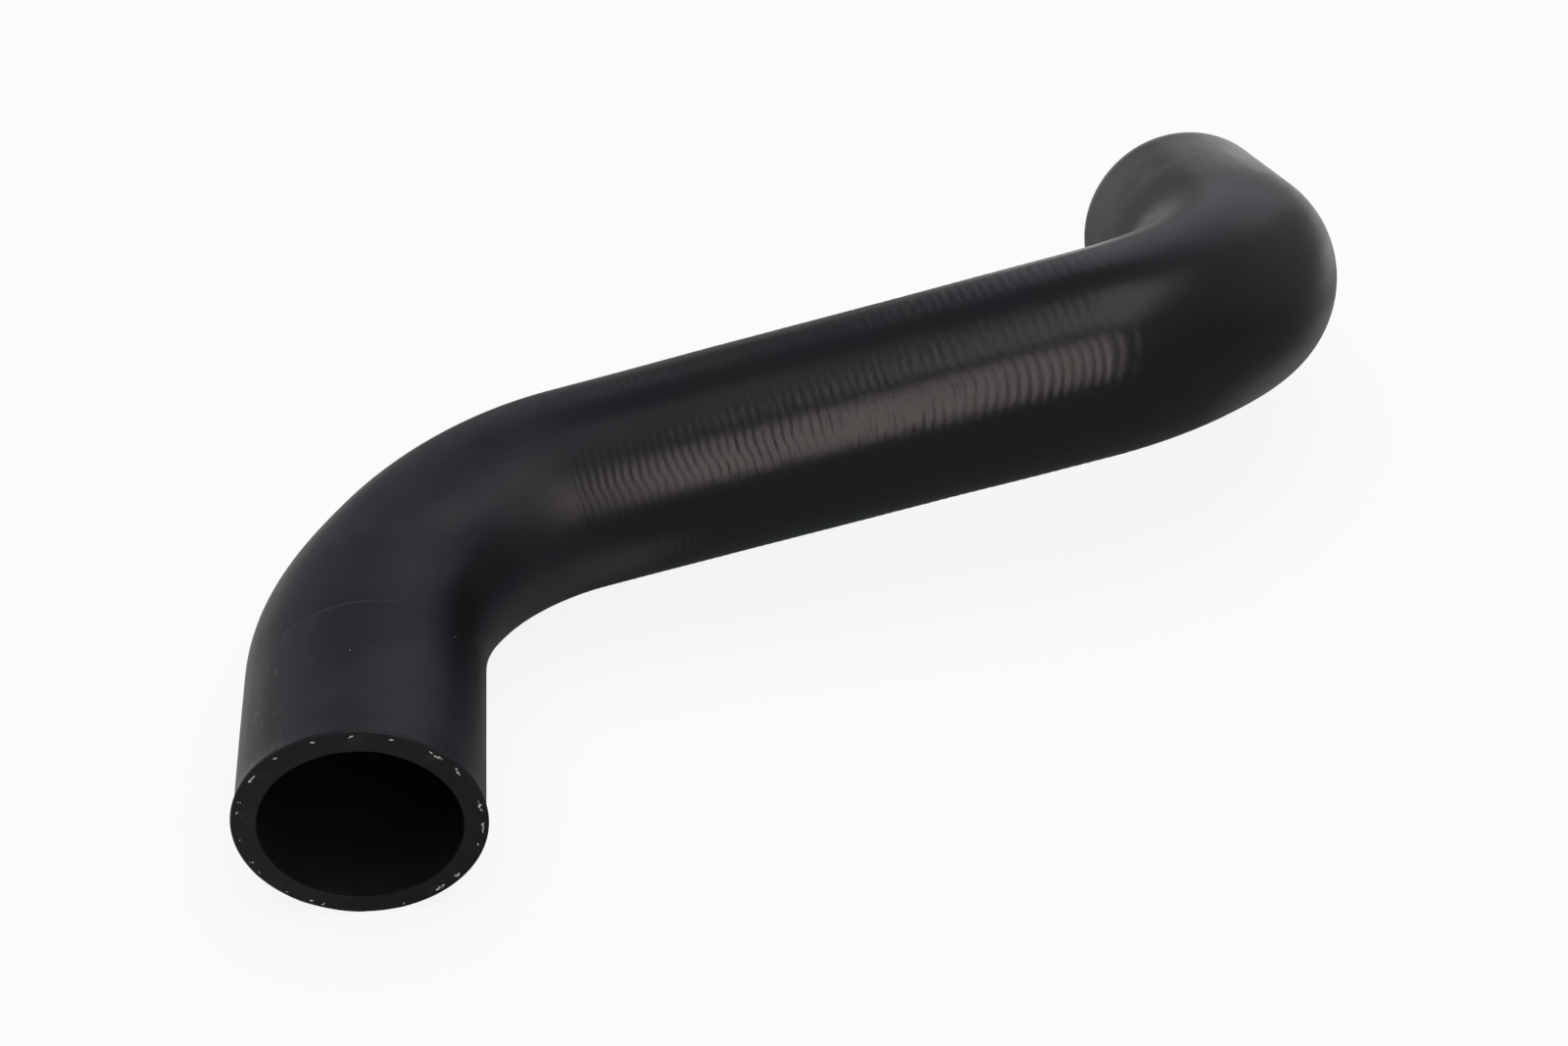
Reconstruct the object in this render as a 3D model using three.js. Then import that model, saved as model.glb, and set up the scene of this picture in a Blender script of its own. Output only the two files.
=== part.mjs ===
// Charge air hose: one moulded rubber tube with a plain cuff at each end, two bends
// and a straight run between them. Millimetres, +Z up.
// It is modelled as it is made: a route for the centreline, a round section that
// changes along it, and one closed skin lofted over the outside, the two cut ends and
// the bore. It lies at rest on the near lip, the back of the near cuff and the far lip.

import * as THREE from 'three';
import { toCreasedNormals } from 'three/addons/utils/BufferGeometryUtils.js';

const DEGREE = Math.PI / 180;

// Cuffs, the plain ends that are pushed over the pipes
const CUFF_DIAMETER = 60;
const CUFF_WALL = 5.5;
const NEAR_CUFF_LENGTH = 47.5;
const FAR_CUFF_LENGTH = 47.5;

// The near lip is spread a little, and its bore sits low, so its wall is uneven
const LIP_SPREAD = 0.7;
const LIP_LENGTH = 6;
const NEAR_BORE_DROP = 0.75;

// Body, which swells slightly from the near bend to the far one
const BODY_NEAR_DIAMETER = 54;
const BODY_FAR_DIAMETER = 56;
const BODY_WALL = 5;
const NEAR_TAPER_LENGTH = 42;
const FAR_TAPER_LENGTH = 48;

// Route, from the near cuff along +Y: right round the near bend, then left and down
// round the far bend, which closes in as it goes
const NEAR_BEND_ANGLE = 81 * DEGREE;
const NEAR_BEND_RADIUS = 65;
const RUN_LENGTH = 141;
const ROLL_BETWEEN_BENDS = 21 * DEGREE;
const FAR_BEND_OPEN_ANGLE = 34.5 * DEGREE;
const FAR_BEND_OPEN_RADIUS = 58.5;
const FAR_BEND_TIGHT_ANGLE = 53.5 * DEGREE;
const FAR_BEND_TIGHT_RADIUS = 44;

// Facets
const SIDES = 48;
const LIP_STEPS = 2;
const CUFF_STEPS = 3;
const NEAR_BEND_STEPS = 14;
const RUN_STEPS = 8;
const FAR_BEND_OPEN_STEPS = 6;
const FAR_BEND_TIGHT_STEPS = 9;
const CREASE_ANGLE = 40 * DEGREE;
const SETTLING_PASSES = 20;

/** Walks the centreline and notes a station, with its own axes, at every step. */
class RouteWalker {
  constructor() {
    this.place = new THREE.Vector3();
    this.heading = new THREE.Vector3(0, 1, 0);
    this.hinge = new THREE.Vector3(0, 0, 1);
    this.top = new THREE.Vector3(0, 0, 1);
    this.travelled = 0;
    this.stations = [];
    this.note();
  }

  note() {
    this.stations.push({
      place: this.place.clone(),
      heading: this.heading.clone(),
      top: this.top.clone(),
      travelled: this.travelled,
    });
  }

  straight(length, steps) {
    for (let step = 0; step < steps; step += 1) {
      this.place.addScaledVector(this.heading, length / steps);
      this.travelled += length / steps;
      this.note();
    }
    return this;
  }

  /** Turns left about the hinge axis, or right where the angle is negative. */
  bend(angle, radius, steps) {
    const inward = this.hinge.clone().cross(this.heading).multiplyScalar(Math.sign(angle));
    const centre = this.place.clone().addScaledVector(inward, radius);
    for (let step = 0; step < steps; step += 1) {
      this.place.sub(centre).applyAxisAngle(this.hinge, angle / steps).add(centre);
      this.heading.applyAxisAngle(this.hinge, angle / steps);
      this.top.applyAxisAngle(this.hinge, angle / steps);
      this.travelled += (Math.abs(angle) * radius) / steps;
      this.note();
    }
    return this;
  }

  /** Tips the plane of the next bend. The skin itself is not twisted. */
  roll(angle) {
    this.hinge.applyAxisAngle(this.heading, angle);
    return this;
  }
}

function walkRoute() {
  return new RouteWalker()
    .straight(LIP_LENGTH, LIP_STEPS)
    .straight(NEAR_CUFF_LENGTH - LIP_LENGTH, CUFF_STEPS)
    .bend(-NEAR_BEND_ANGLE, NEAR_BEND_RADIUS, NEAR_BEND_STEPS)
    .straight(RUN_LENGTH, RUN_STEPS)
    .roll(-ROLL_BETWEEN_BENDS)
    .bend(FAR_BEND_OPEN_ANGLE, FAR_BEND_OPEN_RADIUS, FAR_BEND_OPEN_STEPS)
    .bend(FAR_BEND_TIGHT_ANGLE, FAR_BEND_TIGHT_RADIUS, FAR_BEND_TIGHT_STEPS)
    .straight(FAR_CUFF_LENGTH, CUFF_STEPS)
    .stations;
}

/** Where along the route the section changes, as distances from the near lip. */
function sectionMarks() {
  const runStart = NEAR_CUFF_LENGTH + NEAR_BEND_ANGLE * NEAR_BEND_RADIUS;
  const runEnd = runStart + RUN_LENGTH;
  const farCuffStart = runEnd
    + FAR_BEND_OPEN_ANGLE * FAR_BEND_OPEN_RADIUS
    + FAR_BEND_TIGHT_ANGLE * FAR_BEND_TIGHT_RADIUS;
  return { runStart, runEnd, farCuffStart };
}

/** How much of the section is cuff at a distance: 1 in a cuff, 0 in the body. */
function cuffShare(travelled, marks) {
  const nearTaperEnd = NEAR_CUFF_LENGTH + NEAR_TAPER_LENGTH;
  const farTaperStart = marks.farCuffStart - FAR_TAPER_LENGTH;
  const leftNear = THREE.MathUtils.smoothstep(travelled, NEAR_CUFF_LENGTH, nearTaperEnd);
  const reachedFar = THREE.MathUtils.smoothstep(travelled, farTaperStart, marks.farCuffStart);
  return 1 - leftNear + reachedFar;
}

function outerRadius(travelled, marks) {
  const alongRun = THREE.MathUtils.mapLinear(travelled, marks.runStart, marks.runEnd, 0, 1);
  const body = THREE.MathUtils.lerp(
    BODY_NEAR_DIAMETER / 2,
    BODY_FAR_DIAMETER / 2,
    THREE.MathUtils.clamp(alongRun, 0, 1),
  );
  const plain = THREE.MathUtils.lerp(body, CUFF_DIAMETER / 2, cuffShare(travelled, marks));
  const intoLip = THREE.MathUtils.clamp(1 - travelled / LIP_LENGTH, 0, 1);
  return plain + LIP_SPREAD * intoLip ** 2;
}

function boreRadius(travelled, marks) {
  const wall = THREE.MathUtils.lerp(BODY_WALL, CUFF_WALL, cuffShare(travelled, marks));
  const intoLip = THREE.MathUtils.clamp(1 - travelled / LIP_LENGTH, 0, 1);
  return outerRadius(travelled, marks) - LIP_SPREAD * intoLip ** 2 - wall;
}

function boreDrop(travelled) {
  return NEAR_BORE_DROP * (1 - THREE.MathUtils.smoothstep(travelled, 0, NEAR_CUFF_LENGTH));
}

/** One ring of the skin, square to the route, its centre lowered by the drop. */
function ringPoints(station, radius, drop) {
  const side = station.heading.clone().cross(station.top);
  const centre = station.place.clone().addScaledVector(station.top, -drop);
  return Array.from({ length: SIDES }, (_, corner) => {
    const angle = (corner / SIDES) * 2 * Math.PI;
    return centre.clone()
      .addScaledVector(side, radius * Math.cos(angle))
      .addScaledVector(station.top, radius * Math.sin(angle));
  });
}

/** Joins rings in a closed loop: out along the outside and back through the bore. */
function loftLoop(rings) {
  const index = [];
  rings.forEach((ring, row) => {
    const nextRow = (row + 1) % rings.length;
    for (let corner = 0; corner < SIDES; corner += 1) {
      const nextCorner = (corner + 1) % SIDES;
      const here = row * SIDES + corner;
      const beside = row * SIDES + nextCorner;
      const ahead = nextRow * SIDES + corner;
      const across = nextRow * SIDES + nextCorner;
      index.push(here, ahead, beside, beside, ahead, across);
    }
  });
  const geometry = new THREE.BufferGeometry().setFromPoints(rings.flat());
  geometry.setIndex(index);
  return toCreasedNormals(geometry, CREASE_ANGLE);
}

function hoseGeometry(stations, marks) {
  const outside = stations.map((station) => (
    ringPoints(station, outerRadius(station.travelled, marks), 0)
  ));
  const bore = stations.map((station) => (
    ringPoints(station, boreRadius(station.travelled, marks), boreDrop(station.travelled))
  ));
  return loftLoop([...outside, ...bore.reverse()]);
}

/** The three rings that touch the floor: near lip, back of near cuff, far lip. */
function feetOf(stations, marks) {
  const cuffBack = stations[LIP_STEPS + CUFF_STEPS];
  return [stations[0], cuffBack, stations.at(-1)].map((station) => ({
    ...station,
    radius: outerRadius(station.travelled, marks),
  }));
}

function lowestPoint(foot, down) {
  const outward = down.clone().projectOnPlane(foot.heading).normalize();
  return foot.place.clone().addScaledVector(outward, foot.radius);
}

/** The way down once the hose has settled, found by tipping it onto its feet. */
function settledDown(feet) {
  const down = new THREE.Vector3(0, 0, -1);
  const floor = new THREE.Plane();
  for (let pass = 0; pass < SETTLING_PASSES; pass += 1) {
    floor.setFromCoplanarPoints(...feet.map((foot) => lowestPoint(foot, down)));
    if (floor.normal.dot(down) < 0) {
      floor.negate();
    }
    down.copy(floor.normal);
  }
  return down;
}

/** Turns the hose onto its feet and centres it over the origin. */
function layOnFloor(hose, feet) {
  const floorward = new THREE.Vector3(0, 0, -1);
  hose.quaternion.setFromUnitVectors(settledDown(feet), floorward);
  const box = new THREE.Box3().setFromObject(hose, true);
  const centre = box.getCenter(new THREE.Vector3());
  hose.position.set(-centre.x, -centre.y, -box.min.z);
}

function makeHose() {
  const stations = walkRoute();
  const marks = sectionMarks();
  const rubber = new THREE.MeshStandardMaterial({
    color: 0x2b2c30,
    roughness: 0.42,
    metalness: 0,
  });
  const hose = new THREE.Mesh(hoseGeometry(stations, marks), rubber);
  hose.name = 'hose';
  layOnFloor(hose, feetOf(stations, marks));
  return hose;
}

const chargeAirHose = new THREE.Group();
chargeAirHose.add(makeHose());

export default chargeAirHose;
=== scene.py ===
"""Dresses the charge air hose and sets it on a pale floor.

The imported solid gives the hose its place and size. This script follows the same route and
section with a much finer skin, presses the wrap's ripples into the straight run, frays the
reinforcement threads out of the cut ends, and gives the rubber its finishes. Lengths are in
millimetres until a mesh is written, which is in metres, in the frame's own axes.
"""

import functools
import logging
import math
from dataclasses import dataclass, field
from enum import Enum
from typing import Any

import bpy
import numpy as np
from mathutils import Matrix, Quaternion, Vector


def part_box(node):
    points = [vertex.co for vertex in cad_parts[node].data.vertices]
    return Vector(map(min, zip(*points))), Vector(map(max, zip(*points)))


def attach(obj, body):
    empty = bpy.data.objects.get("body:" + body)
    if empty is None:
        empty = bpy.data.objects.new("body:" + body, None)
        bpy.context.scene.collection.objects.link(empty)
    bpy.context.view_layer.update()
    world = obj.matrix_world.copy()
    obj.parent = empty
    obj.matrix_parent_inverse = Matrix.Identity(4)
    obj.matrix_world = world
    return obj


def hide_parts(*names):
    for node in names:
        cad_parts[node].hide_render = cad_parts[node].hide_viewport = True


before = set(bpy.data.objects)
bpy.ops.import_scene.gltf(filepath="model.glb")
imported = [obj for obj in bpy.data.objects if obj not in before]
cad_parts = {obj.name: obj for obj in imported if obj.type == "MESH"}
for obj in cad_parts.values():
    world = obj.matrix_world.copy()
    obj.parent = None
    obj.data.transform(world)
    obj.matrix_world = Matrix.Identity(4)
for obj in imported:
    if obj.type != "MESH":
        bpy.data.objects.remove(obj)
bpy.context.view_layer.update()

log = logging.getLogger("charge_air_hose")

MM = 0.001
TURN = 2 * math.pi
QUARTER = 0.25
DOWN = Vector((0.0, 0.0, -1.0))

Colour = tuple[float, float, float]
Place = tuple[float, float, float]
Span = tuple[float, float]


class Part(Enum):
    """The material slots of the hose's skin, in the order of its mesh."""

    OUTSIDE = 0
    CUT_END = 1
    BORE = 2


# Sizes and route


@dataclass(frozen=True)
class HoseSizes:
    """The hose's driving sizes, in millimetres and degrees, as the solid has them."""

    cuff_radius: float = 30.0
    cuff_wall: float = 5.5
    near_cuff_length: float = 47.5
    far_cuff_length: float = 47.5
    lip_spread: float = 0.7
    lip_length: float = 6.0
    near_bore_drop: float = 0.75
    body_near_radius: float = 27.0
    body_far_radius: float = 28.0
    body_wall: float = 5.0
    near_taper_length: float = 42.0
    far_taper_length: float = 48.0
    near_bend_angle: float = 81.0
    near_bend_radius: float = 65.0
    run_length: float = 141.0
    roll_between_bends: float = 21.0
    far_bend_open_angle: float = 34.5
    far_bend_open_radius: float = 58.5
    far_bend_tight_angle: float = 53.5
    far_bend_tight_radius: float = 44.0


@dataclass(frozen=True)
class Station:
    """A place on the centreline with the axes of its section."""

    place: Vector
    heading: Vector
    top: Vector

    def side(self) -> Vector:
        """The section's sideways axis."""
        return self.heading.cross(self.top)


@dataclass(frozen=True)
class Stretch:
    """A straight or an arc of the centreline, with the station that it starts from."""

    start: Station
    hinge: Vector
    begins: float
    length: float
    curvature: float

    def station(self, travelled: float) -> Station:
        """The station at a distance from the near lip.

        Args:
            travelled: Distance along the centreline from the near lip.

        Returns:
            The station there, also where the distance lies past the stretch's ends.
        """
        along = travelled - self.begins
        if self.curvature == 0:
            return Station(
                self.start.place + self.start.heading * along,
                self.start.heading.copy(),
                self.start.top.copy(),
            )
        centre = self.start.place + self.hinge.cross(self.start.heading) / self.curvature
        turn = Quaternion(self.hinge, along * self.curvature)
        return Station(
            centre + turn @ (self.start.place - centre),
            turn @ self.start.heading,
            turn @ self.start.top,
        )


class Route:
    """The centreline: straight cuff, bend, run, roll, a bend that tightens, straight cuff."""

    def __init__(self, sizes: HoseSizes) -> None:
        """Walks the route once.

        Args:
            sizes: The hose's driving sizes.
        """
        self.stretches: list[Stretch] = []
        self._here = Station(Vector(), Vector((0, 1, 0)), Vector((0, 0, 1)))
        self._hinge = Vector((0, 0, 1))
        self.length = 0.0
        self._straight(sizes.near_cuff_length)
        self._bend(-sizes.near_bend_angle, sizes.near_bend_radius)
        self.run_start = self.length
        self._straight(sizes.run_length)
        self.run_end = self.length
        roll = Quaternion(self._here.heading, -math.radians(sizes.roll_between_bends))
        self._hinge = roll @ self._hinge
        self._bend(sizes.far_bend_open_angle, sizes.far_bend_open_radius)
        self._bend(sizes.far_bend_tight_angle, sizes.far_bend_tight_radius)
        self.far_cuff_start = self.length
        self._straight(sizes.far_cuff_length)

    def _straight(self, length: float) -> None:
        """Adds a straight of that length."""
        self._add(length, 0.0)

    def _bend(self, degrees: float, radius: float) -> None:
        """Adds a bend, to the left where the angle is positive."""
        self._add(abs(math.radians(degrees)) * radius, math.copysign(1 / radius, degrees))

    def _add(self, length: float, curvature: float) -> None:
        """Adds a stretch and moves on to its end.

        Args:
            length: Length of the stretch.
            curvature: 1 over its radius, positive to the left, or 0 for a straight.
        """
        stretch = Stretch(self._here, self._hinge.copy(), self.length, length, curvature)
        self.stretches.append(stretch)
        self.length += length
        self._here = stretch.station(self.length)

    def station(self, travelled: float) -> Station:
        """The station at a distance from the near lip.

        Args:
            travelled: Distance along the centreline from the near lip.

        Returns:
            The station there.
        """
        for stretch in self.stretches[:-1]:
            if travelled < stretch.begins + stretch.length:
                return stretch.station(travelled)
        return self.stretches[-1].station(travelled)


def smooth_step(value: np.ndarray, low: float, high: float) -> np.ndarray:
    """Rises smoothly from 0 at low to 1 at high."""
    share = np.clip((value - low) / (high - low), 0.0, 1.0)
    return share * share * (3 - 2 * share)


class Section:
    """The round section's radii along the route."""

    def __init__(self, sizes: HoseSizes, route: Route) -> None:
        """Keeps what the radii depend on.

        Args:
            sizes: The hose's driving sizes.
            route: The centreline, which gives the places where the section changes.
        """
        self.sizes = sizes
        self.route = route

    def cuff_share(self, travelled: np.ndarray) -> np.ndarray:
        """How much of the section is cuff.

        Args:
            travelled: Distances from the near lip.

        Returns:
            1 in a cuff, 0 in the body and a share between them in a taper.
        """
        near_end = self.sizes.near_cuff_length
        far_start = self.route.far_cuff_start
        left_near = smooth_step(travelled, near_end, near_end + self.sizes.near_taper_length)
        reached_far = smooth_step(travelled, far_start - self.sizes.far_taper_length, far_start)
        return 1 - left_near + reached_far

    def plain_radius(self, travelled: np.ndarray) -> np.ndarray:
        """Outer radius without the spread of the near lip.

        Args:
            travelled: Distances from the near lip.

        Returns:
            A radius for each distance.
        """
        sizes = self.sizes
        along_run = np.clip((travelled - self.route.run_start) / sizes.run_length, 0.0, 1.0)
        body = sizes.body_near_radius + (sizes.body_far_radius - sizes.body_near_radius) * along_run
        return body + (sizes.cuff_radius - body) * self.cuff_share(travelled)

    def outer_radius(self, travelled: np.ndarray) -> np.ndarray:
        """Outer radius with the spread of the near lip."""
        into_lip = np.clip(1 - travelled / self.sizes.lip_length, 0.0, 1.0)
        return self.plain_radius(travelled) + self.sizes.lip_spread * into_lip**2

    def bore_radius(self, travelled: np.ndarray) -> np.ndarray:
        """Radius of the bore.

        Args:
            travelled: Distances from the near lip.

        Returns:
            A radius for each distance.
        """
        wall_growth = self.sizes.cuff_wall - self.sizes.body_wall
        wall = self.sizes.body_wall + wall_growth * self.cuff_share(travelled)
        return self.plain_radius(travelled) - wall

    def bore_drop(self, travelled: np.ndarray) -> np.ndarray:
        """How far the bore's centre lies below the outside's."""
        evened = smooth_step(travelled, 0.0, self.sizes.near_cuff_length)
        return self.sizes.near_bore_drop * (1 - evened)


class RestPose:
    """Turns the hose from its route's own axes to how it lies in the frame."""

    PASSES = 20

    def __init__(self, route: Route, section: Section) -> None:
        """Finds the turn that sets both lips and the back of the near cuff on the floor.

        Args:
            route: The centreline.
            section: The section, whose outer radius says how low each foot reaches.
        """
        feet = (0.0, section.sizes.near_cuff_length, route.length)
        stations = [route.station(foot) for foot in feet]
        radii = [float(section.outer_radius(np.array(foot))) for foot in feet]
        down = DOWN.copy()
        for _ in range(self.PASSES):
            near, back, far = (
                self._lowest(station, radius, down) for station, radius in zip(stations, radii)
            )
            normal = (back - near).cross(far - near).normalized()
            down = normal if normal.dot(down) > 0 else -normal
        self.turn = down.rotation_difference(DOWN).to_matrix()

    @staticmethod
    def _lowest(station: Station, radius: float, down: Vector) -> Vector:
        """The lowest point of a section's rim."""
        outward = down - station.heading * down.dot(station.heading)
        return station.place + outward.normalized() * radius


# The skin


class SoftField:
    """A seeded field of soft bumps over the skin, without a seam around the hose."""

    spare_rows = 3

    def __init__(self, seed: int, length: float, along: float, around: int) -> None:
        """Draws the field's values.

        Args:
            seed: Seed of the random draw.
            length: Length of the hose.
            along: Distance between values along the hose.
            around: Number of values around it.
        """
        self.along = along
        self.around = around
        rows = int(length / along) + self.spare_rows
        self.values = np.random.default_rng(seed).uniform(-1.0, 1.0, (rows, around))

    def at(self, travelled: np.ndarray, turns: np.ndarray) -> np.ndarray:
        """The field's values, between -1 and 1.

        Args:
            travelled: Distances along the hose.
            turns: Places around it, as shares of a turn.

        Returns:
            One value for each place.
        """
        row, column = np.broadcast_arrays(travelled / self.along, (turns % 1.0) * self.around)
        low_row = np.clip(np.floor(row).astype(int), 0, self.values.shape[0] - 2)
        low_column = np.floor(column).astype(int) % self.around
        next_column = (low_column + 1) % self.around
        row_share = smooth_step(row - low_row, 0.0, 1.0)
        column_share = smooth_step(column - np.floor(column), 0.0, 1.0)
        low = self.values[low_row, low_column] * (1 - column_share)
        low += self.values[low_row, next_column] * column_share
        high = self.values[low_row + 1, low_column] * (1 - column_share)
        high += self.values[low_row + 1, next_column] * column_share
        return low * (1 - row_share) + high * row_share


@dataclass(frozen=True)
class Ripples:
    """The marks of the cloth wrap on the straight run: fine ridges across it that waver.

    Lengths are in millimetres. What grows or fades does so between two shares of the rippled
    length, and places around the hose are shares of a turn from its underside. Cells are the
    distance between a soft field's bumps and their number around the hose.
    """

    starts: float = 125.0
    full_from: float = 140.0
    full_to: float = 286.5
    ends: float = 290.0
    near_pitch: float = 2.1
    far_pitch: float = 3.1
    height: float = 0.025
    middle_height: float = 0.030
    far_height: float = 0.028
    middle_grows: Span = (0.2, 0.5)
    far_grows: Span = (0.6, 0.9)
    upper_share: float = 0.45
    upper_edge: Span = (0.368, 0.398)
    overtone: float = 0.16
    overtone_lag: float = 0.7
    ridge_mean: float = 0.9
    ridge_least: float = 0.45
    patchiness: float = 0.45
    patch_cells: tuple[float, int] = (8.0, 22)
    patch_seed: int = 13
    weave: float = 0.028
    weave_grows: Span = (0.12, 0.4)
    weave_loss: float = 0.7
    weave_cells: tuple[float, int] = (1.1, 84)
    weave_seed: int = 14
    waver: float = 0.75
    waver_cells: tuple[float, int] = (19.0, 15)
    waver_seed: int = 11
    shiver: float = 0.26
    shiver_cells: tuple[float, int] = (4.2, 62)
    shiver_seed: int = 12
    bow: float = 2.0
    bow_at: float = 0.356
    bow_width: float = 0.045
    bow_grows: Span = (0.3, 0.8)
    kink: float = 1.1
    kink_from: float = 0.356
    kink_to: float = 0.328
    kink_fades: Span = (0.35, 0.65)

    def relief(self, travelled: np.ndarray, turns: np.ndarray, length: float) -> np.ndarray:
        """Height of the ripples over the plain skin.

        Args:
            travelled: Distances along the hose, as a column.
            turns: Places around it as shares of a turn, as a row.
            length: Length of the hose.

        Returns:
            A height for each place, in millimetres.
        """
        share = np.clip((travelled - self.starts) / (self.ends - self.starts), 0.0, 1.0)
        phase = self._phase(travelled, turns, share, length)
        wave = np.sin(phase) + self.overtone * np.sin(2 * phase + self.overtone_lag)
        rise = smooth_step(travelled, self.starts, self.full_from)
        fall = 1 - smooth_step(travelled, self.full_to, self.ends)
        in_middle = smooth_step(share, *self.middle_grows)
        at_far_end = smooth_step(share, *self.far_grows)
        height = self.height + (self.middle_height - self.height) * in_middle
        height = height + (self.far_height - self.middle_height) * at_far_end
        height = height * (1 - (1 - self.upper_share) * smooth_step(turns, *self.upper_edge))
        patch = SoftField(self.patch_seed, length, *self.patch_cells).at(travelled, turns)
        weave = SoftField(self.weave_seed, length, *self.weave_cells).at(travelled, turns)
        woven = smooth_step(share, *self.weave_grows) * (1 - self.weave_loss * at_far_end)
        strength = np.maximum(self.ridge_mean + self.patchiness * patch, self.ridge_least)
        return rise * fall * (height * strength * wave + self.weave * woven * weave)

    def _phase(
        self, travelled: np.ndarray, turns: np.ndarray, share: np.ndarray, length: float
    ) -> np.ndarray:
        """The angle of the ridges' wave, which counts them along the run and makes them waver.

        Args:
            travelled: Distances along the hose, as a column.
            turns: Places around it as shares of a turn, as a row.
            share: Share of the rippled length at each distance.
            length: Length of the hose.

        Returns:
            An angle for each place, in radians.
        """
        growth = math.log(self.far_pitch / self.near_pitch)
        ridges = (self.ends - self.starts) / (self.near_pitch * growth)
        counted = ridges * (1 - np.exp(-growth * share))
        pitch = self.near_pitch * np.exp(growth * share)
        wander = SoftField(self.waver_seed, length, *self.waver_cells).at(travelled, turns)
        shiver = SoftField(self.shiver_seed, length, *self.shiver_cells).at(travelled, turns)
        bow = np.minimum(((turns - self.bow_at) / self.bow_width) ** 2, 1.0)
        kink = 1 - smooth_step(turns, self.kink_to, self.kink_from)
        kink = kink * (1 - smooth_step(share, *self.kink_fades))
        offset = self.waver * wander + self.shiver * shiver
        offset = offset + self.bow * smooth_step(share, *self.bow_grows) * bow - self.kink * kink
        return TURN * (counted + offset / pitch)


@dataclass(frozen=True)
class SkinDetail:
    """How finely the skin is meshed, in millimetres, and how uneven it is.

    A pair of seeds is for the near end and the far one.
    """

    sides: int = 160
    edge_round: float = 0.3
    lip_row: float = 0.8
    cuff_row: float = 2.6
    bend_row: float = 1.9
    ripple_row: float = 0.46
    bore_row: float = 6.0
    bore_edge_rows: Span = (1.2, 3.0)
    face_rows: int = 6
    face_edge: float = 0.04
    face_from: float = 0.18
    face_to: float = 0.86
    sag: float = 0.14
    sag_along: float = 26.0
    sag_around: int = 7
    sag_seed: int = 5
    edge_wander: float = 0.5
    edge_bumps: int = 53
    edge_seeds: tuple[int, int] = (9, 10)
    ragged_bore: float = 0.22
    ragged_bumps: int = 37
    ragged_seeds: tuple[int, int] = (7, 8)
    frame_samples: int = 200


@dataclass
class SkinRow:
    """One closed ring of the skin's mesh."""

    travelled: float
    radius: np.ndarray
    drop: float
    part: Part


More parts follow.
